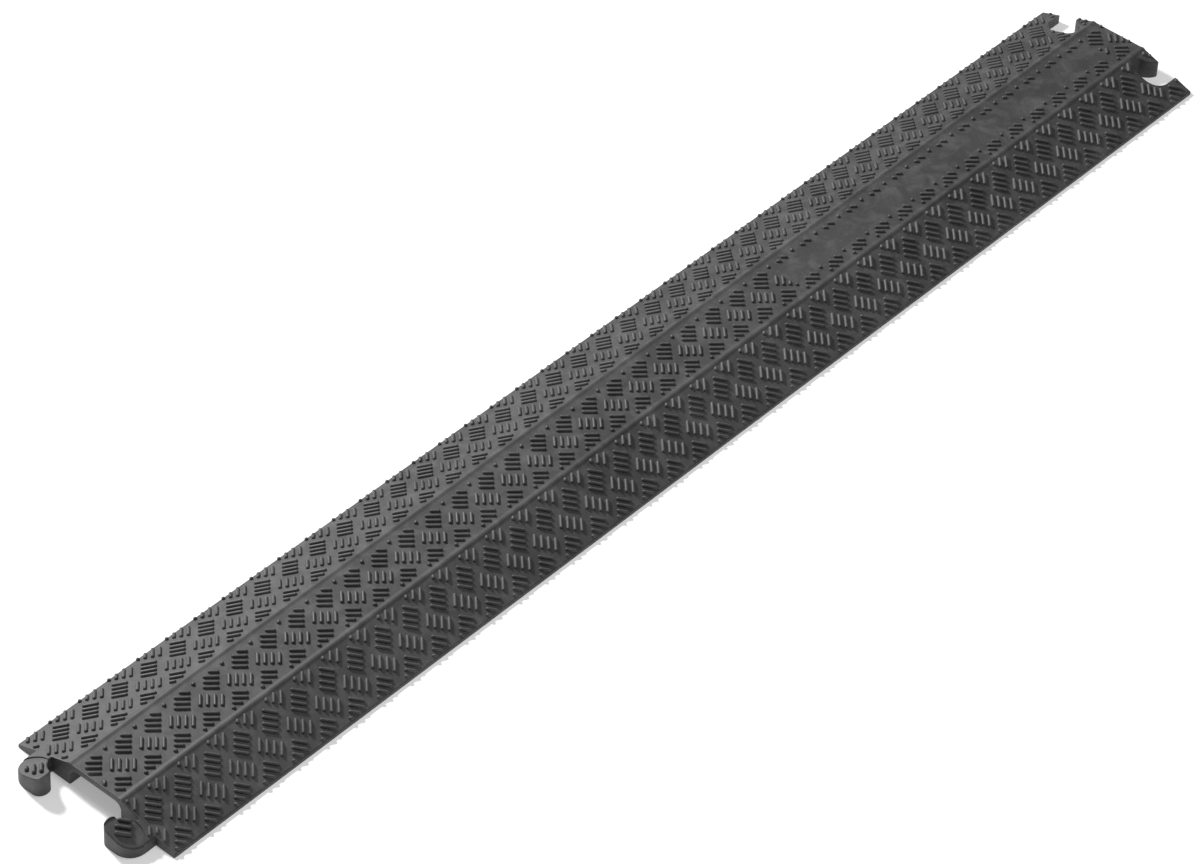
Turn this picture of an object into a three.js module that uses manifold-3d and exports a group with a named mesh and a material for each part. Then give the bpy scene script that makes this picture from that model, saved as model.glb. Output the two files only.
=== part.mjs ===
// Floor cord cover: one rubber moulding that lies flat on the floor over a run of cable.
// Millimetres, +Z up, the floor at Z = 0. +X runs from the lug end to the notch end.
// The tread stands on the ramps and on the flat top, and each group of bars is drawn as one pad.
import * as THREE from "three";
import { mergeGeometries, mergeVertices } from "three/addons/utils/BufferGeometryUtils.js";
import Module from "manifold-3d";

const wasm = await Module();
wasm.setup();

// Strip. Its height is measured over the tread, and its outer edge is measured without it.
const STRIP_LENGTH = 1000;
const STRIP_WIDTH = 130;
const STRIP_HEIGHT = 19;
const OUTER_EDGE_HEIGHT = 2.4;
const OUTER_EDGE_RADIUS = 1;
const FLAT_TOP_WIDTH = 43;
const CREASE_RADIUS = 3;

// Cable channel, open at the bottom and at both ends
const CHANNEL_WIDTH = 42;
const CHANNEL_HEIGHT = 13;
const CHANNEL_CORNER_RADIUS = 5;

// Lugs, measured from the middle line and from the strip's end face
const LUG_REACH = 21;
const LUG_OUTER_SIDE = 50;
const LUG_INNER_SIDE = 25;
const NECK_INNER_SIDE = 36;
const NECK_STRAIGHT = 1;
const LIP_DEPTH = 9.5;
const LIP_CORNER_START = 28;
const HEAD_FLAT_START = 14;
const HEAD_FRONT_CORNER_RADIUS = 6;
const HEAD_OUTER_RADIUS = 12;
const LUG_CLEARANCE = 0.6;
const LUG_OVERLAP = 3;

// The curve from the neck to the lip: where its two handles stand, as shares of the lip's depth,
// how far the second one lies inside the neck, and how far the lip's corner swells forward
const LIP_CURVE_PULLS = [0.4, 0.85];
const LIP_CURVE_DROP = 4;
const LIP_CORNER_SWELL = 0.8;

// Tread. A group of four bars stands in each cell, and the next group is turned by a right angle.
const TREAD_HEIGHT = 1.6;
const BAR_LENGTH = 10.3;
const BAR_WIDTH = 2.3;
const BAR_SPACING = 4.4;
const BARS_IN_GROUP = 4;
const GROUPS_ALONG = 41;
const END_MARGIN = 1.2;
const NOTCH_MARGIN = 1.6;

// The rows of groups on each panel, by their distance from the middle line, with the panel's two
// borders and the first group's distance from the lug end face. The bars of a falling row run
// towards +X and -Y, and those of a rising row towards +X and +Y.
const PANELS = [
  { borders: [-17.6, 16], start: 8.5, falling: [9.75, -14.64], rising: [-2.45] },
  { borders: [-64.2, -23.6], start: 11.5, falling: [-36.3, -60.7], rising: [-24.1, -48.5] },
  { borders: [24, 64.2], start: 20.5, falling: [49.6, 25.3], rising: [61.8, 37.4] },
];

// Smooth panel in the flat top, measured from the lug end face and from the middle line
const SMOOTH_START = 632;
const SMOOTH_END = 975.5;
const SMOOTH_SIDES = [-9, 12];

// Cutting tools reach this far past the faces that they cut
const CUT_PAST = 5;
const CURVE_STEPS = 10;

const overallLength = STRIP_LENGTH + LUG_REACH;
const farEndX = overallLength / 2;
const nearEndX = farEndX - STRIP_LENGTH;
const halfWidth = STRIP_WIDTH / 2;
const halfTop = FLAT_TOP_WIDTH / 2;
const halfChannel = CHANNEL_WIDTH / 2;
const groupPitch = STRIP_LENGTH / GROUPS_ALONG;
const groupLength = (BARS_IN_GROUP - 1) * BAR_SPACING + BAR_WIDTH;
const surfaceHeight = STRIP_HEIGHT - TREAD_HEIGHT;

// A closed solid from a three.js geometry.
function solidOf(geometry) {
  const bare = geometry.clone();
  bare.deleteAttribute("normal");
  bare.deleteAttribute("uv");
  const welded = mergeVertices(bare, 1e-5);
  const mesh = new wasm.Mesh({
    numProp: 3,
    vertProperties: Float32Array.from(welded.attributes.position.array),
    triVerts: Uint32Array.from(welded.index.array),
  });
  return new wasm.Manifold(mesh);
}

// A three.js geometry from a solid, with flat faces.
function geometryOf(solid) {
  const mesh = solid.getMesh();
  const geometry = new THREE.BufferGeometry();
  const positions = new Float32Array(mesh.vertProperties);
  geometry.setAttribute("position", new THREE.BufferAttribute(positions, 3));
  geometry.setIndex(new THREE.BufferAttribute(new Uint32Array(mesh.triVerts), 1));
  geometry.computeVertexNormals();
  return geometry;
}

// A prism along X whose section is drawn across the strip: shape x is world Y, shape y is world Z.
function prismAlongX(shape, fromX, toX) {
  const geometry = new THREE.ExtrudeGeometry(shape, {
    depth: toX - fromX,
    bevelEnabled: false,
    curveSegments: CURVE_STEPS,
  });
  const turn = new THREE.Matrix4().makeBasis(
    new THREE.Vector3(0, 1, 0),
    new THREE.Vector3(0, 0, 1),
    new THREE.Vector3(1, 0, 0),
  );
  geometry.applyMatrix4(turn);
  geometry.translate(fromX, 0, 0);
  return solidOf(geometry);
}

// The outer section: flat top between two ramps that fall to thin, rounded outer edges.
// Raised by the tread's height, it bounds the crests of the tread.
function outerSection(raisedBy) {
  const top = surfaceHeight + raisedBy;
  const edge = OUTER_EDGE_HEIGHT + raisedBy;
  const ramp = new THREE.Vector2(halfWidth - halfTop, edge - top).normalize();
  const section = new THREE.Shape();
  section.moveTo(-halfWidth, 0);
  section.lineTo(halfWidth, 0);
  section.lineTo(halfWidth, edge - OUTER_EDGE_RADIUS);
  section.quadraticCurveTo(
    halfWidth,
    edge,
    halfWidth - OUTER_EDGE_RADIUS * ramp.x,
    edge - OUTER_EDGE_RADIUS * ramp.y,
  );
  section.lineTo(halfTop + CREASE_RADIUS * ramp.x, top + CREASE_RADIUS * ramp.y);
  section.quadraticCurveTo(halfTop, top, halfTop - CREASE_RADIUS, top);
  section.lineTo(-halfTop + CREASE_RADIUS, top);
  section.quadraticCurveTo(-halfTop, top, -halfTop - CREASE_RADIUS * ramp.x, top + CREASE_RADIUS * ramp.y);
  section.lineTo(-halfWidth + OUTER_EDGE_RADIUS * ramp.x, edge - OUTER_EDGE_RADIUS * ramp.y);
  section.quadraticCurveTo(-halfWidth, edge, -halfWidth, edge - OUTER_EDGE_RADIUS);
  section.closePath();
  return section;
}

// The channel's section: a flat ceiling with rounded corners, open downwards.
function channelSection() {
  const section = new THREE.Shape();
  section.moveTo(-halfChannel, -CUT_PAST);
  section.lineTo(halfChannel, -CUT_PAST);
  section.lineTo(halfChannel, CHANNEL_HEIGHT - CHANNEL_CORNER_RADIUS);
  section.absarc(
    halfChannel - CHANNEL_CORNER_RADIUS,
    CHANNEL_HEIGHT - CHANNEL_CORNER_RADIUS,
    CHANNEL_CORNER_RADIUS,
    0,
    Math.PI / 2,
    false,
  );
  section.absarc(
    -halfChannel + CHANNEL_CORNER_RADIUS,
    CHANNEL_HEIGHT - CHANNEL_CORNER_RADIUS,
    CHANNEL_CORNER_RADIUS,
    Math.PI / 2,
    Math.PI,
    false,
  );
  section.closePath();
  return section;
}

// The jigsaw outline seen from above. Outline x is the distance in front of the end face,
// outline y the distance from the middle line. The clearance makes it larger all round.
function lugOutline(clearance, overlap) {
  const reach = LUG_REACH + clearance;
  const outer = LUG_OUTER_SIDE + clearance;
  const inner = LUG_INNER_SIDE - clearance;
  const neck = NECK_INNER_SIDE - clearance;
  const lip = LIP_DEPTH - clearance;
  const outline = new THREE.Shape();
  outline.moveTo(-overlap, neck);
  outline.lineTo(NECK_STRAIGHT, neck);
  outline.bezierCurveTo(
    lip * LIP_CURVE_PULLS[0],
    neck,
    lip * LIP_CURVE_PULLS[1],
    neck - LIP_CURVE_DROP,
    lip,
    LIP_CORNER_START,
  );
  outline.quadraticCurveTo(lip + LIP_CORNER_SWELL, inner, HEAD_FLAT_START, inner);
  outline.lineTo(reach - HEAD_FRONT_CORNER_RADIUS, inner);
  outline.absarc(
    reach - HEAD_FRONT_CORNER_RADIUS,
    inner + HEAD_FRONT_CORNER_RADIUS,
    HEAD_FRONT_CORNER_RADIUS,
    -Math.PI / 2,
    0,
    false,
  );
  outline.absarc(
    reach - HEAD_OUTER_RADIUS,
    outer - HEAD_OUTER_RADIUS,
    HEAD_OUTER_RADIUS,
    0,
    Math.PI / 2,
    false,
  );
  outline.lineTo(-overlap, outer);
  outline.closePath();
  return outline;
}

// The outline as an upright column in front of the end face at endX, on one side of the middle line.
function lugColumn(clearance, overlap, endX, side) {
  const points = lugOutline(clearance, overlap).extractPoints(CURVE_STEPS).shape;
  const placed = points.map((point) => new THREE.Vector2(endX - point.x, side * point.y));
  const geometry = new THREE.ExtrudeGeometry(new THREE.Shape(placed), {
    depth: STRIP_HEIGHT + 2 * CUT_PAST,
    bevelEnabled: false,
  });
  geometry.translate(0, 0, -CUT_PAST);
  return solidOf(geometry);
}

// A box from one corner to the opposite one.
function boxBetween(low, high) {
  const size = new THREE.Vector3().subVectors(high, low);
  const geometry = new THREE.BoxGeometry(size.x, size.y, size.z);
  geometry.translate(low.x + size.x / 2, low.y + size.y / 2, low.z + size.z / 2);
  return solidOf(geometry);
}

// Upright columns on every group of one panel. They don't touch each other.
function groupColumns(panel) {
  const rows = [
    ...panel.falling.map((y) => ({ y, start: panel.start, turn: Math.PI / 4 })),
    ...panel.rising.map((y) => ({ y, start: panel.start + groupPitch / 2, turn: -Math.PI / 4 })),
  ];
  const columns = [];
  for (const row of rows) {
    for (let group = -1; group <= GROUPS_ALONG; group += 1) {
      const column = new THREE.BoxGeometry(groupLength, BAR_LENGTH, STRIP_HEIGHT + CUT_PAST);
      column.rotateZ(row.turn);
      column.translate(nearEndX + row.start + group * groupPitch, row.y, (STRIP_HEIGHT + CUT_PAST) / 2);
      columns.push(column);
    }
  }
  return solidOf(mergeGeometries(columns));
}

// The part of the strip that carries one panel's tread, up to the crests.
function treadZone(panel, crests) {
  const low = new THREE.Vector3(nearEndX, panel.borders[0], 0);
  const high = new THREE.Vector3(farEndX, panel.borders[1], STRIP_HEIGHT);
  let zone = crests.intersect(boxBetween(low, high));
  for (const side of [-1, 1]) {
    zone = zone.subtract(lugColumn(LUG_CLEARANCE + NOTCH_MARGIN, CUT_PAST, farEndX, side));
  }
  return zone;
}

const channel = prismAlongX(channelSection(), nearEndX - LUG_REACH - CUT_PAST, farEndX + CUT_PAST);
let cover = prismAlongX(outerSection(0), nearEndX, farEndX);

// The lugs follow the ramps, so that they lie flush in the notches of the next strip.
const rampsAtLugs = prismAlongX(outerSection(0), nearEndX - LUG_REACH - CUT_PAST, nearEndX + CUT_PAST);
for (const side of [-1, 1]) {
  cover = cover.add(lugColumn(0, LUG_OVERLAP, nearEndX, side).intersect(rampsAtLugs));
}

// The smooth panel stays bare.
const smoothLow = new THREE.Vector3(nearEndX + SMOOTH_START, SMOOTH_SIDES[0], 0);
const smoothHigh = new THREE.Vector3(nearEndX + SMOOTH_END, SMOOTH_SIDES[1], STRIP_HEIGHT + CUT_PAST);
const crests = prismAlongX(outerSection(TREAD_HEIGHT), nearEndX + END_MARGIN, farEndX - END_MARGIN)
  .subtract(boxBetween(smoothLow, smoothHigh));
for (const panel of PANELS) {
  cover = cover.add(groupColumns(panel).intersect(treadZone(panel, crests)));
}

cover = cover.subtract(channel);
for (const side of [-1, 1]) {
  cover = cover.subtract(lugColumn(LUG_CLEARANCE, CUT_PAST, farEndX, side));
}

const rubber = new THREE.MeshStandardMaterial({ color: 0x3c3e40, roughness: 0.8, metalness: 0 });
const coverMesh = new THREE.Mesh(geometryOf(cover), rubber);
coverMesh.name = "cord_cover";

const part = new THREE.Group();
part.name = "floor_cord_cover";
part.add(coverMesh);

export default part;
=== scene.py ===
import math

import bmesh
import bpy
from mathutils import Matrix, Vector


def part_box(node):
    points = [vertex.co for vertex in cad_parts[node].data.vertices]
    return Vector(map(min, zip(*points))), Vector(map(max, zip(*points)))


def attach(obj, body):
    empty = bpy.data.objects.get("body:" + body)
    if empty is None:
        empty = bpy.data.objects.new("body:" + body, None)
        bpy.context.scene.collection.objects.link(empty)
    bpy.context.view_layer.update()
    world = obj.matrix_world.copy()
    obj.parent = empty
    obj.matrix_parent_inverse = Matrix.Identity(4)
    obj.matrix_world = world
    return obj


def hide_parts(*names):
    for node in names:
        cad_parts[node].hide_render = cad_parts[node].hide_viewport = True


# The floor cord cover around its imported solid: metres, +Z up, the floor at Z = 0,
# +X along the strip from the lug end to the notch end.
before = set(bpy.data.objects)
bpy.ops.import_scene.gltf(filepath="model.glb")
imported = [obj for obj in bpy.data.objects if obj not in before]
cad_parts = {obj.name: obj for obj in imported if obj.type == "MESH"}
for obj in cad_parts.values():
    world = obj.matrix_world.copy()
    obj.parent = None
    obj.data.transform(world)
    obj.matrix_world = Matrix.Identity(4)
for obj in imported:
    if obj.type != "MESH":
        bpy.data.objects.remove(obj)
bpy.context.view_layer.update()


# The strip
# The real piece is one strip of black rubber, compression moulded in a steel mould: a flat top
# between two ramps, with a soft bead along each crease and an open cable channel below.
# The solid's box ends at the tread's crests, so the surface between the bars lies one bar
# height below its top.
MM = 0.001
# Points closer than this count as one place.
SAME_PLACE = 0.001 * MM
_, solid_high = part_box("cord_cover")
STRIP_LENGTH = 1000 * MM
FAR_END = solid_high.x
NEAR_END = FAR_END - STRIP_LENGTH
BAR_HEIGHT = 1.6 * MM
TOP_HEIGHT = solid_high.z - BAR_HEIGHT
HALF_WIDTH = solid_high.y
OUTER_EDGE_HEIGHT = 2.4 * MM
OUTER_EDGE_ROUND = 0.9 * MM
OUTER_EDGE_STEPS = 4
CREASE_SIDE = 21.5 * MM
CREASE_REACH = 3.4 * MM
CREASE_STEPS = 14
BEAD_HALF_WIDTH = 3.0 * MM
BEAD_HEIGHT = 0.7 * MM
CHANNEL_HALF_WIDTH = 21 * MM
CHANNEL_HEIGHT = 13 * MM
CHANNEL_ROUND = 5 * MM
CHANNEL_STEPS = 8
END_ROUND = 0.7 * MM
END_ROUND_STEPS = 2
# The long faces are divided at this spacing.
STATION_STEP = 50 * MM
RAMP_SLOPE = (TOP_HEIGHT - OUTER_EDGE_HEIGHT) / (HALF_WIDTH - CREASE_SIDE)


def surface_height(y):
    """Height of the moulding's surface between the bars, at a distance y from the middle line."""
    return TOP_HEIGHT - RAMP_SLOPE * max(0.0, abs(y) - CREASE_SIDE)


def bend(start, middle, end, steps):
    """Points of a soft corner from start to end that turns at middle."""
    start, middle, end = Vector(start), Vector(middle), Vector(end)
    points = []
    for step in range(steps + 1):
        t = step / steps
        points.append(start * (1 - t) ** 2 + middle * 2 * t * (1 - t) + end * t * t)
    return points


def arc(centre, radius, from_turn, to_turn, steps):
    """Points of an arc between two turns in radians."""
    points = []
    for step in range(steps + 1):
        turn = from_turn + (to_turn - from_turn) * step / steps
        points.append(Vector(centre) + Vector((math.cos(turn), math.sin(turn))) * radius)
    return points


def half_section():
    """Across the strip from the outer foot over the ramp and the crease to the flat top."""
    down_ramp = Vector((1, -RAMP_SLOPE)).normalized()
    edge = Vector((HALF_WIDTH, OUTER_EDGE_HEIGHT))
    edge_start = edge - Vector((0, OUTER_EDGE_ROUND))
    edge_end = edge - down_ramp * OUTER_EDGE_ROUND
    points = [Vector((HALF_WIDTH, 0))]
    points += bend(edge_start, edge, edge_end, OUTER_EDGE_STEPS)
    crease = Vector((CREASE_SIDE, TOP_HEIGHT))
    crease_start = crease + down_ramp * CREASE_REACH
    crease_end = crease - Vector((CREASE_REACH, 0))
    soft = bend(crease_start, crease, crease_end, CREASE_STEPS)
    # The bead swells out of the crease like one wave of a cosine.
    for step, point in enumerate(soft):
        before, after = soft[max(0, step - 1)], soft[min(CREASE_STEPS, step + 1)]
        outward = Vector((after.y - before.y, before.x - after.x)).normalized()
        off_centre = abs(2 * step / CREASE_STEPS - 1) * CREASE_REACH / BEAD_HALF_WIDTH
        if off_centre < 1:
            point = point + outward * BEAD_HEIGHT * 0.5 * (1 + math.cos(math.pi * off_centre))
        points.append(point)
    return points


def half_channel():
    """The channel's rounded ceiling corner and its wall, down to the floor."""
    centre = (CHANNEL_HALF_WIDTH - CHANNEL_ROUND, CHANNEL_HEIGHT - CHANNEL_ROUND)
    corner = arc(centre, CHANNEL_ROUND, math.pi / 2, 0, CHANNEL_STEPS)
    return corner + [Vector((CHANNEL_HALF_WIDTH, 0))]


def mirrored(points):
    """The same points on the other side of the middle line, in the opposite order."""
    return [Vector((-point.x, point.y)) for point in reversed(points)]


def object_from(name, mesh_edit):
    """An object in the scene from a bmesh, which is freed."""
    mesh = bpy.data.meshes.new(name)
    mesh_edit.to_mesh(mesh)
    mesh_edit.free()
    made = bpy.data.objects.new(name, mesh)
    bpy.context.scene.collection.objects.link(made)
    return made


def closed_loft(rings):
    """A closed mesh through rings of points, with a face on the first and the last ring."""
    loft = bmesh.new()
    made = [[loft.verts.new(point) for point in ring] for ring in rings]
    count = len(made[0])
    for lower, upper in zip(made, made[1:]):
        for index in range(count):
            following = (index + 1) % count
            loft.faces.new((lower[index], lower[following], upper[following], upper[index]))
    loft.faces.new(list(reversed(made[0])))
    loft.faces.new(made[-1])
    bmesh.ops.recalc_face_normals(loft, faces=loft.faces)
    return loft


def keep_result(made):
    """Gives an object the mesh that its modifiers make of it, and takes them off."""
    graph = bpy.context.evaluated_depsgraph_get()
    graph.update()
    result = bpy.data.meshes.new_from_object(made.evaluated_get(graph), depsgraph=graph)
    made.modifiers.clear()
    made.data = result


def combine(body, other, operation):
    """Joins other to body, or cuts it away, and removes other."""
    modifier = body.modifiers.new("combine", "BOOLEAN")
    modifier.operation = operation
    modifier.solver = "MANIFOLD"
    modifier.object = other
    keep_result(body)
    bpy.data.objects.remove(other)


section = half_section() + mirrored(half_section()) + mirrored(half_channel()) + half_channel()
station_count = round(STRIP_LENGTH / STATION_STEP)
stations = [
    NEAR_END + STRIP_LENGTH * index / station_count for index in range(station_count + 1)
]
strip_mesh = closed_loft([[(x, point.x, point.y) for point in section] for x in stations])
end_edges = []
for edge in strip_mesh.edges:
    middle = (edge.verts[0].co + edge.verts[1].co) / 2
    at_end = min(abs(middle.x - NEAR_END), abs(middle.x - FAR_END)) < SAME_PLACE
    if at_end and middle.z > SAME_PLACE:
        end_edges.append(edge)
bmesh.ops.bevel(
    strip_mesh, geom=end_edges, offset=END_ROUND, segments=END_ROUND_STEPS, profile=0.5,
    affect="EDGES",
)
cover = object_from("rubber_cover", strip_mesh)


# The lugs and the notches
# Two jigsaw lugs stand out of the near end, and two matching notches are left in the far end,
# so that strips lock into a longer run. They are moulded with the strip, with rounded rims.
# A shallow step in the shape of an arc sets each lug's round head off from the ramp.
LUG_REACH = 21 * MM
LUG_OUTER_SIDE = 50 * MM
LUG_INNER_SIDE = 25 * MM
NECK_INNER_SIDE = 36 * MM
NECK_STRAIGHT = 1 * MM
LIP_DEPTH = 9.5 * MM
LIP_CORNER_START = 28 * MM
LIP_CORNER_SWELL = 0.8 * MM
LIP_CORNER_STEPS = 5
# The curve from the neck to the lip: where its two handles stand, as shares of the lip's depth,
# and how far the second one lies inside the neck
LIP_CURVE_PULLS = (0.4, 0.85)
LIP_CURVE_DROP = 4 * MM
LIP_CURVE_STEPS = 8
HEAD_FLAT_START = 14 * MM
HEAD_FRONT_ROUND = 6 * MM
HEAD_OUTER_ROUND = 12 * MM
HEAD_ROUND_STEPS = 8
LUG_CLEARANCE = 0.6 * MM
# The lugs begin this far inside the strip.
LUG_ROOT = 3 * MM
RIM_ROUND = 1.1 * MM
NOTCH_RIM_ROUND = 0.6 * MM
RIM_STEPS = 3
HEAD_STEP = 0.8 * MM
HEAD_CENTRE = Vector((15 * MM, 38.5 * MM))
HEAD_CIRCLE = 12.6 * MM
HEAD_CIRCLE_STEPS = 48
# Cutters reach this far past what they cut.
CUT_PAST = 5 * MM
# The necks lie this much lower than the ramps, so that no two joined faces share one plane.
NECK_DROP = 0.02 * MM


def jigsaw_outline(grow, root):
    """From above: how far in front of the end face, and how far from the middle line."""
    reach = LUG_REACH + grow
    outer = LUG_OUTER_SIDE + grow
    inner = LUG_INNER_SIDE - grow
    neck = NECK_INNER_SIDE - grow
    lip = LIP_DEPTH - grow
    points = [Vector((-root, neck))]
    for step in range(LIP_CURVE_STEPS + 1):
        t = step / LIP_CURVE_STEPS
        rest = 1 - t
        along = NECK_STRAIGHT * rest ** 3 + 3 * t * rest ** 2 * lip * LIP_CURVE_PULLS[0]
        along += 3 * t * t * rest * lip * LIP_CURVE_PULLS[1] + t ** 3 * lip
        side = neck * (rest ** 3 + 3 * t * rest ** 2)
        side += (neck - LIP_CURVE_DROP) * 3 * t * t * rest + LIP_CORNER_START * t ** 3
        points.append(Vector((along, side)))
    corner = (lip + LIP_CORNER_SWELL, inner)
    corner_end = (HEAD_FLAT_START, inner)
    points += bend((lip, LIP_CORNER_START), corner, corner_end, LIP_CORNER_STEPS)[1:]
    front = (reach - HEAD_FRONT_ROUND, inner + HEAD_FRONT_ROUND)
    points += arc(front, HEAD_FRONT_ROUND, -math.pi / 2, 0, HEAD_ROUND_STEPS)
    back = (reach - HEAD_OUTER_ROUND, outer - HEAD_OUTER_ROUND)
    points += arc(back, HEAD_OUTER_ROUND, 0, math.pi / 2, HEAD_ROUND_STEPS)
    points.append(Vector((-root, outer)))
    return points


def jigsaw_column(end, side, levels, root):
    """A column on the outline. Each level is a growth of the outline and a height function."""
    rings = []
    for grow, height in levels:
        outline = jigsaw_outline(grow, root)
        rings.append([(end - point.x, side * point.y, height(point.y)) for point in outline])
    return closed_loft(rings)


def rounded_levels(top_drop, radius):
    """A wall from the floor and a rim that is rounded inwards to a top parallel to the ramp."""
    levels = [(0.0, lambda y: 0.0)]
    for step in range(RIM_STEPS + 1):
        turn = math.pi / 2 * step / RIM_STEPS
        shrink = radius * (1 - math.cos(turn))
        drop = top_drop + radius * (1 - math.sin(turn))
        levels.append((-shrink, lambda y, drop=drop: surface_height(y) - drop))
    return levels


def flared_levels(radius):
    """A cutter that widens towards the ramp, so that it leaves a rounded rim."""
    levels = [(LUG_CLEARANCE, lambda y: -CUT_PAST)]
    for step in range(RIM_STEPS + 1):
        turn = math.pi / 2 * step / RIM_STEPS
        widen = LUG_CLEARANCE + radius * (1 - math.cos(turn))
        drop = radius * (1 - math.sin(turn))
        levels.append((widen, lambda y, drop=drop: surface_height(y) - drop))
    levels.append((LUG_CLEARANCE + radius, lambda y: TOP_HEIGHT + CUT_PAST))
    return levels


def head_disc(side):
    """An upright disc over a lug's round head."""
    centre = (NEAR_END - HEAD_CENTRE.x, side * HEAD_CENTRE.y)
    circle = arc(centre, HEAD_CIRCLE, 0, 2 * math.pi, HEAD_CIRCLE_STEPS)[:-1]
    heights = (-CUT_PAST, TOP_HEIGHT + CUT_PAST)
    return closed_loft([[(point.x, point.y, height) for point in circle] for height in heights])


head_levels = rounded_levels(HEAD_STEP, RIM_ROUND)
neck_levels = rounded_levels(NECK_DROP, RIM_ROUND)
notch_levels = flared_levels(NOTCH_RIM_ROUND)
for side in (-1, 1):
    head = object_from("head", jigsaw_column(NEAR_END, side, head_levels, LUG_ROOT))
    neck = object_from("neck", jigsaw_column(NEAR_END, side, neck_levels, LUG_ROOT))
    combine(neck, object_from("disc", head_disc(side)), "DIFFERENCE")
    combine(cover, head, "UNION")
    combine(cover, neck, "UNION")
    notch = object_from("notch", jigsaw_column(FAR_END, side, notch_levels, CUT_PAST))
    combine(cover, notch, "DIFFERENCE")


# The tread
# The whole walking face carries raised rubber bars, moulded with the strip, in groups of four
# that turn by a right angle from one group to the next. The groups are cut off at each panel's
# border, and a smooth rectangle on the flat top near the far end has none.
BAR_LENGTH = 10.3 * MM
BAR_WIDTH = 2.8 * MM
BAR_SPACING = 4.4 * MM
# The bars' feet stand this far below the surface, so that they fuse with it.
BAR_SUNK = 0.4 * MM
SHORTEST_BAR = 1.2 * MM
SHORTEST_STRAIGHT = 0.1 * MM
BARS_IN_GROUP = 4
GROUPS_ALONG = 41
# Groups that begin past an end face still reach onto the strip and the lugs.
GROUPS_PAST_END = 2
REPEAT = STRIP_LENGTH / GROUPS_ALONG
END_MARGIN = 1.2 * MM
NOTCH_MARGIN = 1.6 * MM
NECK_MARGIN = 1.7 * MM
# The few bars on a lug's head stand in this circle.
HEAD_TREAD_CENTRE = Vector((11.5 * MM, 36 * MM))
HEAD_TREAD_RADIUS = 6.9 * MM
SMOOTH_FROM = 632 * MM
SMOOTH_TO = 975.5 * MM
SMOOTH_SIDES = (-9 * MM, 12 * MM)
# A bar is looked at in this many places to find where its panel cuts it off.
BAR_SAMPLES = 41
# Each part of a unit length that runs at 45 degrees
SLANT = math.sqrt(0.5)
# The flat top, the right ramp and the left ramp, in millimetres: the panel's two borders, the
# first group's place along the strip, the rows of groups whose bars run towards +X and -Y, and
# the rows between them whose bars run towards +X and +Y
PANELS = (
    {"borders": (-17.6, 16.0), "start": 8.5, "falling": (9.75, -14.64), "rising": (21.9, -2.45)},
    {"borders": (-64.2, -23.6), "start": 11.5, "falling": (-36.3, -60.7), "rising": (-24.1, -48.5)},
    {"borders": (24.0, 64.2), "start": 20.5, "falling": (49.6, 25.3), "rising": (61.8, 37.4)},
)


def inside(outline, along, side):
    """Whether a point lies in a closed outline."""
    within = False
    for index, corner in enumerate(outline):
        before = outline[index - 1]
        if (corner.y > side) != (before.y > side):
            share = (before.x - corner.x) / (before.y - corner.y)
            if along < corner.x + (side - corner.y) * share:
                within = not within
    return within


notch_zone = jigsaw_outline(LUG_CLEARANCE + NOTCH_MARGIN, CUT_PAST)
neck_zone = jigsaw_outline(-NECK_MARGIN, CUT_PAST)


def takes_tread(x, y, borders):
    """Whether the face carries tread at a distance x from the near end face."""
    if not borders[0] * MM < y < borders[1] * MM:
        return False
    if x < END_MARGIN:
        on_lug = Vector((-x, abs(y)))
        off_head = (on_lug - HEAD_CENTRE).length > HEAD_CIRCLE + NECK_MARGIN
        on_neck = off_head and inside(neck_zone, on_lug.x, on_lug.y)
        return on_neck or (on_lug - HEAD_TREAD_CENTRE).length < HEAD_TREAD_RADIUS
    if x > STRIP_LENGTH - END_MARGIN:
        return False
    if SMOOTH_FROM < x < SMOOTH_TO and SMOOTH_SIDES[0] < y < SMOOTH_SIDES[1]:
        return False
    return not inside(notch_zone, STRIP_LENGTH - x, abs(y))


def clipped_bar(x, y, run, borders):
    """The longest stretch of a bar that its panel takes: middle x, middle y and half length."""
    best, current = [], []
    for index in range(BAR_SAMPLES):
        t = BAR_LENGTH * (index / (BAR_SAMPLES - 1) - 0.5)
        if takes_tread(x + run.x * t, y + run.y * t, borders):
            current.append(t)
        else:
            current = []
        if len(current) > len(best):
            best = list(current)
    if not best or best[-1] - best[0] < SHORTEST_BAR:
        return None
    middle = (best[0] + best[-1]) / 2
    return x + run.x * middle, y + run.y * middle, (best[-1] - best[0]) / 2


bar_places = []
for panel in PANELS:
    start = panel["start"] * MM
    rows = [(row * MM, start, Vector((SLANT, -SLANT))) for row in panel["falling"]]
    rows += [(row * MM, start + REPEAT / 2, Vector((SLANT, SLANT))) for row in panel["rising"]]
    for row, row_start, run in rows:
        stack = Vector((-run.y, run.x))
        for group in range(-GROUPS_PAST_END, GROUPS_ALONG + GROUPS_PAST_END):
            for bar in range(BARS_IN_GROUP):
                off = (bar - (BARS_IN_GROUP - 1) / 2) * BAR_SPACING
                x = row_start + group * REPEAT + stack.x * off
                y = row + stack.y * off
                stretch = clipped_bar(x, y, run, panel["borders"])
                if stretch:
                    bar_places.append((stretch, run))

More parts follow.
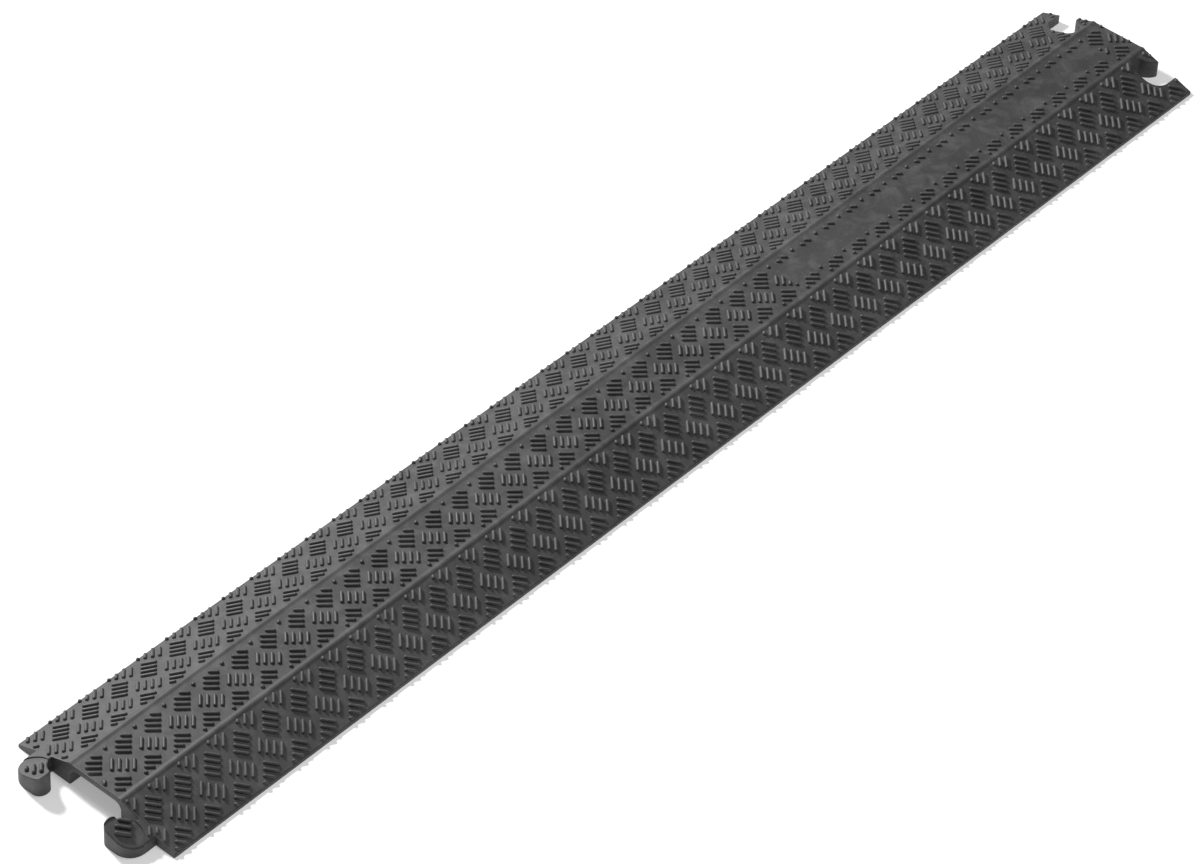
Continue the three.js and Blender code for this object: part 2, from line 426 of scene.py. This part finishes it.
tread = bpy.data.meshes.new("tread_bars")
tread.from_pydata(
    [(NEAR_END + x, y, surface_height(y)) for (x, y, _), _ in bar_places], [], [],
)
along_values, up_values, half_values = [], [], []
for (_, y, half), run in bar_places:
    fall = 0.0 if abs(y) < CREASE_SIDE else -RAMP_SLOPE * math.copysign(1, y)
    slope_run = Vector((run.x, run.y, fall * run.y))
    along_values.extend(slope_run.normalized())
    up_values.extend(Vector((0, -fall, 1)).normalized())
    half_values.append(max(SHORTEST_STRAIGHT, half * slope_run.length - BAR_WIDTH / 2))
tread.attributes.new("lies_along", "FLOAT_VECTOR", "POINT").data.foreach_set("vector", along_values)
tread.attributes.new("stands_up", "FLOAT_VECTOR", "POINT").data.foreach_set("vector", up_values)
tread.attributes.new("straight_half", "FLOAT", "POINT").data.foreach_set("value", half_values)
tread_bars = bpy.data.objects.new("tread_bars", tread)
bpy.context.scene.collection.objects.link(tread_bars)


def add_node(tree, kind, settings):
    """Adds a node. Each setting is a property or an input by name or place; sockets are linked."""
    node = tree.nodes.new(kind)
    for name, value in settings.items():
        if isinstance(value, bpy.types.NodeSocket):
            tree.links.new(value, node.inputs[name])
        elif isinstance(name, str) and hasattr(node, name):
            setattr(node, name, value)
        else:
            node.inputs[name].default_value = value
    return node


def linear(hex_colour):
    """An sRGB hex colour, by the standard's curve, as the linear colour that a shader takes."""
    channels = [int(hex_colour[place:place + 2], 16) / 255 for place in (1, 3, 5)]
    return [c / 12.92 if c <= 0.04045 else ((c + 0.055) / 1.055) ** 2.4 for c in channels] + [1.0]


# Moulded black rubber: a styrene-butadiene compound with carbon black. It gives a soft, broad
# sheen and a dark, neutral grey, with cloudy bloom, dusty smears, a sandy moulded grain and
# crests that are rubbed paler.
FRESH_RUBBER = linear("#3b3b3b")
BLOOMED_RUBBER = linear("#464646")
DUSTY_RUBBER = linear("#5e5e5e")
RUBBED_RUBBER = linear("#5a5a5a")
RUBBER_IOR = 1.52
BLOOM_SIZE = 60 * MM
BLOOM_RANGE = (0.35, 0.65)
SMEAR_SIZE = 14 * MM
DUST_RANGE = (0.45, 0.7)
MOST_DUST = 0.6
SHEEN_RANGE = (0.35, 0.7)
SHEEN_ROUGHNESS = (0.5, 0.62)
CREST_RANGE = (0.75, 1.0)
MOST_RUBBED = 0.6
WAVE_SIZE = 7 * MM
WAVE_DEPTH = 0.16 * MM
# The real grain is about 0.3 mm. It is drawn at about 1 mm, the finest that shows.
GRAIN_SIZE = 1.1 * MM
GRAIN_DEPTH = 0.05 * MM
GRAIN_RANGE = (0.3, 0.7)
SPECKLE_BRIGHTNESS = (0.85, 1.15)
# A mix node's colour sockets share their names with its other sockets, so they go by place.
MIX_SHARE = 0
MIX_FIRST = 6
MIX_SECOND = 7
MIX_COLOUR = 2

rubber = bpy.data.materials.new("moulded_black_rubber")
rubber.use_nodes = True
rubber_tree = rubber.node_tree
rubber_tree.nodes.clear()
coords = add_node(rubber_tree, "ShaderNodeTexCoord", {}).outputs["Object"]


def noise(size, settings):
    """Cloudy values with forms of about one size."""
    every = {"Vector": coords, "Scale": 1 / size, **settings}
    return add_node(rubber_tree, "ShaderNodeTexNoise", every).outputs["Fac"]


def spread(value, source, result):
    """A value whose source range is laid over the result range and held at its ends."""
    low = {"From Min": source[0], "To Min": result[0]}
    high = {"From Max": source[1], "To Max": result[1]}
    settings = {"Value": value, **low, **high}
    return add_node(rubber_tree, "ShaderNodeMapRange", settings).outputs["Result"]


def mix(share, first, second, blend_type="MIX"):
    """Two colours, mixed by the share that the second one has."""
    colours = {MIX_SHARE: share, MIX_FIRST: first, MIX_SECOND: second}
    settings = {"data_type": "RGBA", "blend_type": blend_type, **colours}
    return add_node(rubber_tree, "ShaderNodeMix", settings).outputs[MIX_COLOUR]


def bump(height, depth, settings):
    """The normal over a height that stands out by a depth."""
    every = {"Strength": 1.0, "Distance": depth, "Height": height, **settings}
    return add_node(rubber_tree, "ShaderNodeBump", every).outputs["Normal"]


bloom = noise(BLOOM_SIZE, {"Detail": 3.0, "Roughness": 0.55})
smear = noise(SMEAR_SIZE, {"Detail": 4.0, "Roughness": 0.6, "Distortion": 0.6})
grain = noise(GRAIN_SIZE, {"Detail": 2.0, "Roughness": 0.6})
wave = noise(WAVE_SIZE, {"Detail": 1.0})
raised = add_node(
    rubber_tree, "ShaderNodeAttribute", {"attribute_name": "tread_height"},
).outputs["Fac"]

bloomed = mix(spread(bloom, BLOOM_RANGE, (0.0, 1.0)), FRESH_RUBBER, BLOOMED_RUBBER)
dusty = mix(spread(smear, DUST_RANGE, (0.0, MOST_DUST)), bloomed, DUSTY_RUBBER)
crested = mix(spread(raised, CREST_RANGE, (0.0, MOST_RUBBED)), dusty, RUBBED_RUBBER)
speckles = spread(grain, GRAIN_RANGE, SPECKLE_BRIGHTNESS)
colour = mix(1.0, crested, speckles, "MULTIPLY")
roughness = spread(smear, SHEEN_RANGE, SHEEN_ROUGHNESS)
wavy = bump(wave, WAVE_DEPTH, {})
sandy = bump(grain, GRAIN_DEPTH, {"Normal": wavy})
rubber_shader = add_node(
    rubber_tree, "ShaderNodeBsdfPrincipled",
    {
        "IOR": RUBBER_IOR,
        "Metallic": 0.0,
        "Base Color": colour,
        "Roughness": roughness,
        "Normal": sandy,
    },
)
add_node(rubber_tree, "ShaderNodeOutputMaterial", {"Surface": rubber_shader.outputs["BSDF"]})

# The tree that puts one rounded bar on each place, draws it out to its length along its own
# direction, and gives plain mesh faces. From foot to crest a bar's flank turns by the crest
# turn: its height follows the sine of the turn, and its half width follows the cosine, to the
# power of the flank fullness.
CREST_TURN = math.radians(87)
FLANK_FULLNESS = 0.8
OUTLINE_POINTS = 8
FLANK_ROWS = 4

tree = bpy.data.node_groups.new("tread_bars", "GeometryNodeTree")
tree.interface.new_socket("Geometry", in_out="INPUT", socket_type="NodeSocketGeometry")
tree.interface.new_socket("Geometry", in_out="OUTPUT", socket_type="NodeSocketGeometry")
bar_inputs = {
    "Bar Width": ("NodeSocketFloat", BAR_WIDTH),
    "Bar Height": ("NodeSocketFloat", BAR_HEIGHT),
    "Sunk Depth": ("NodeSocketFloat", BAR_SUNK),
    "Crest Turn": ("NodeSocketFloat", CREST_TURN),
    "Flank Fullness": ("NodeSocketFloat", FLANK_FULLNESS),
    "Outline Points": ("NodeSocketInt", OUTLINE_POINTS),
    "Flank Rows": ("NodeSocketInt", FLANK_ROWS),
    "Rubber": ("NodeSocketMaterial", rubber),
}
sockets = {
    name: tree.interface.new_socket(name, in_out="INPUT", socket_type=kind)
    for name, (kind, _) in bar_inputs.items()
}
given = add_node(tree, "NodeGroupInput", {}).outputs


def maths(operation, *values):
    """The result of a math node on numbers or sockets."""
    settings = {"operation": operation, **dict(enumerate(values))}
    return add_node(tree, "ShaderNodeMath", settings).outputs["Value"]


def position_parts(position):
    """The X, Y and Z of a position."""
    return add_node(tree, "ShaderNodeSeparateXYZ", {"Vector": position}).outputs


def read_attribute(name, data_type):
    """The value that each place's own attribute holds."""
    settings = {"data_type": data_type, "Name": name}
    return add_node(tree, "GeometryNodeInputNamedAttribute", settings).outputs["Attribute"]


# A post one unit high around the origin, shaped into a dome
post = add_node(
    tree, "GeometryNodeMeshCylinder",
    {
        "Depth": 1.0,
        "Vertices": given["Outline Points"],
        "Side Segments": given["Flank Rows"],
        "Radius": maths("MULTIPLY", given["Bar Width"], 0.5),
    },
).outputs["Mesh"]
post_place = add_node(tree, "GeometryNodeInputPosition", {}).outputs["Position"]
post_height = maths("ADD", position_parts(post_place)["Z"], 0.5)
level = maths("MULTIPLY", post_height, given["Crest Turn"])
rise = maths("DIVIDE", maths("SINE", level), maths("SINE", given["Crest Turn"]))
whole = maths("ADD", given["Bar Height"], given["Sunk Depth"])
height = maths("SUBTRACT", maths("MULTIPLY", rise, whole), given["Sunk Depth"])
draw_in = maths("POWER", maths("COSINE", level), given["Flank Fullness"])
# A cylinder's first corner lies on X. Turned by half a corner, no corner lies between the two
# ends that the bar is drawn out to.
turned = add_node(
    tree, "ShaderNodeVectorRotate",
    {
        "rotation_type": "Z_AXIS",
        "Vector": post_place,
        "Angle": maths("DIVIDE", math.pi, given["Outline Points"]),
    },
).outputs["Vector"]
turned_parts = position_parts(turned)
dome_place = add_node(
    tree, "ShaderNodeCombineXYZ",
    {
        "X": maths("MULTIPLY", turned_parts["X"], draw_in),
        "Y": maths("MULTIPLY", turned_parts["Y"], draw_in),
        "Z": height,
    },
).outputs["Vector"]
dome = add_node(
    tree, "GeometryNodeSetPosition", {"Geometry": post, "Position": dome_place},
).outputs["Geometry"]

# Each corner remembers which end of the bar it belongs to.
dome_corner = add_node(tree, "GeometryNodeInputPosition", {}).outputs["Position"]
marked = add_node(
    tree, "GeometryNodeStoreNamedAttribute",
    {
        "data_type": "FLOAT",
        "domain": "POINT",
        "Name": "end_side",
        "Geometry": dome,
        "Value": maths("SIGN", position_parts(dome_corner)["X"]),
    },
).outputs["Geometry"]
upright = add_node(
    tree, "FunctionNodeAxesToRotation",
    {
        "primary_axis": "Z",
        "secondary_axis": "X",
        "Primary Axis": read_attribute("stands_up", "FLOAT_VECTOR"),
        "Secondary Axis": read_attribute("lies_along", "FLOAT_VECTOR"),
    },
).outputs["Rotation"]
placed = add_node(
    tree, "GeometryNodeInstanceOnPoints",
    {"Points": given["Geometry"], "Instance": marked, "Rotation": upright},
).outputs["Instances"]
real = add_node(tree, "GeometryNodeRealizeInstances", {"Geometry": placed}).outputs["Geometry"]
half_length = maths(
    "MULTIPLY", read_attribute("end_side", "FLOAT"), read_attribute("straight_half", "FLOAT"),
)
reach = add_node(
    tree, "ShaderNodeVectorMath",
    {
        "operation": "SCALE",
        "Vector": read_attribute("lies_along", "FLOAT_VECTOR"),
        "Scale": half_length,
    },
).outputs["Vector"]
drawn_out = add_node(
    tree, "GeometryNodeSetPosition", {"Geometry": real, "Offset": reach},
).outputs["Geometry"]
coated = add_node(
    tree, "GeometryNodeSetMaterial", {"Geometry": drawn_out, "Material": given["Rubber"]},
).outputs["Geometry"]
add_node(tree, "NodeGroupOutput", {"Geometry": coated})

grow_bars = tread_bars.modifiers.new("tread_bars", "NODES")
grow_bars.node_group = tree
for name, (_, value) in bar_inputs.items():
    grow_bars[sockets[name].identifier] = value
keep_result(tread_bars)

combine(cover, tread_bars, "UNION")
cover.data.materials.clear()
cover.data.materials.append(rubber)
cover.data.polygons.foreach_set("material_index", [0] * len(cover.data.polygons))
for name in ("lies_along", "stands_up", "straight_half", "end_side"):
    leftover = cover.data.attributes.get(name)
    if leftover:
        cover.data.attributes.remove(leftover)

# The height of each point over the surface between the bars, from 0 there to 1 on the crests
heights = [
    (vertex.co.z - surface_height(vertex.co.y)) / BAR_HEIGHT for vertex in cover.data.vertices
]
cover.data.attributes.new("tread_height", "FLOAT", "POINT").data.foreach_set("value", heights)

SHARPEST_SMOOTH_TURN = math.radians(38)
cover.data.shade_smooth()
cover.data.set_sharp_from_angle(angle=SHARPEST_SMOOTH_TURN)
cover.modifiers.new("even", "WEIGHTED_NORMAL").keep_sharp = True
keep_result(cover)

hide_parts("cord_cover")
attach(cover, "root")


# The studio
# A plain pale floor that glows a little, so that it stays nearly white. The small key light
# shines from the strip's left side, and a larger, weaker light hangs overhead. The camera is
# where the photograph was taken from.
FLOOR_SIDE = 12.0
SKY_STRENGTH = 0.16

floor_mesh = bmesh.new()
bmesh.ops.create_grid(floor_mesh, x_segments=1, y_segments=1, size=FLOOR_SIDE / 2)
floor = object_from("floor", floor_mesh)
floor_paint = bpy.data.materials.new("painted_floor")
floor_paint.use_nodes = True
floor_look = {
    "Base Color": linear("#f7f7f7"),
    "Emission Color": linear("#ffffff"),
    "Emission Strength": 0.3,
    "Roughness": 0.9,
    "Specular IOR Level": 0.1,
}
for name, value in floor_look.items():
    floor_paint.node_tree.nodes["Principled BSDF"].inputs[name].default_value = value
floor.data.materials.append(floor_paint)


def soft_light(name, place, target, size, power):
    """A round light of a size in metres and a power in watts, turned to a target."""
    lamp = bpy.data.lights.new(name, "AREA")
    lamp.shape = "DISK"
    lamp.size = size
    lamp.energy = power
    light = bpy.data.objects.new(name, lamp)
    light.location = place
    light.rotation_euler = (Vector(target) - Vector(place)).to_track_quat("-Z", "Y").to_euler()
    bpy.context.scene.collection.objects.link(light)


soft_light("key_light", place=(-0.1, 1.7, 1.38), target=(0.05, 0.0, 0.0), size=0.35, power=58)
soft_light("fill_light", place=(-0.1, -0.25, 2.6), target=(0.0, 0.0, 0.0), size=1.0, power=15)
sky = bpy.data.worlds.new("studio")
sky.use_nodes = True
background = sky.node_tree.nodes["Background"]
background.inputs["Color"].default_value = linear("#ffffff")
background.inputs["Strength"].default_value = SKY_STRENGTH
bpy.context.scene.world = sky
bpy.context.scene.view_settings.view_transform = "Standard"

# The camera was fitted to the tread in the photograph, which is 1200 pixels wide.
LENS_PIXELS = 4899.5
IMAGE_WIDTH = 1200
SENSOR_WIDTH = 36
CAMERA_PLACE = (-1.8503, -1.4531, 2.0897)
CAMERA_RIGHT = Vector((0.65738, -0.75215, 0.04617))
CAMERA_UP = Vector((0.4818, 0.46662, 0.74171))
camera_data = bpy.data.cameras.new("camera")
camera_data.sensor_width = SENSOR_WIDTH
camera_data.lens = LENS_PIXELS / IMAGE_WIDTH * SENSOR_WIDTH
camera = bpy.data.objects.new("camera", camera_data)
turn = Matrix((CAMERA_RIGHT, CAMERA_UP, CAMERA_RIGHT.cross(CAMERA_UP))).transposed()
camera.matrix_world = Matrix.Translation(CAMERA_PLACE) @ turn.to_4x4()
bpy.context.scene.collection.objects.link(camera)
bpy.context.scene.camera = camera
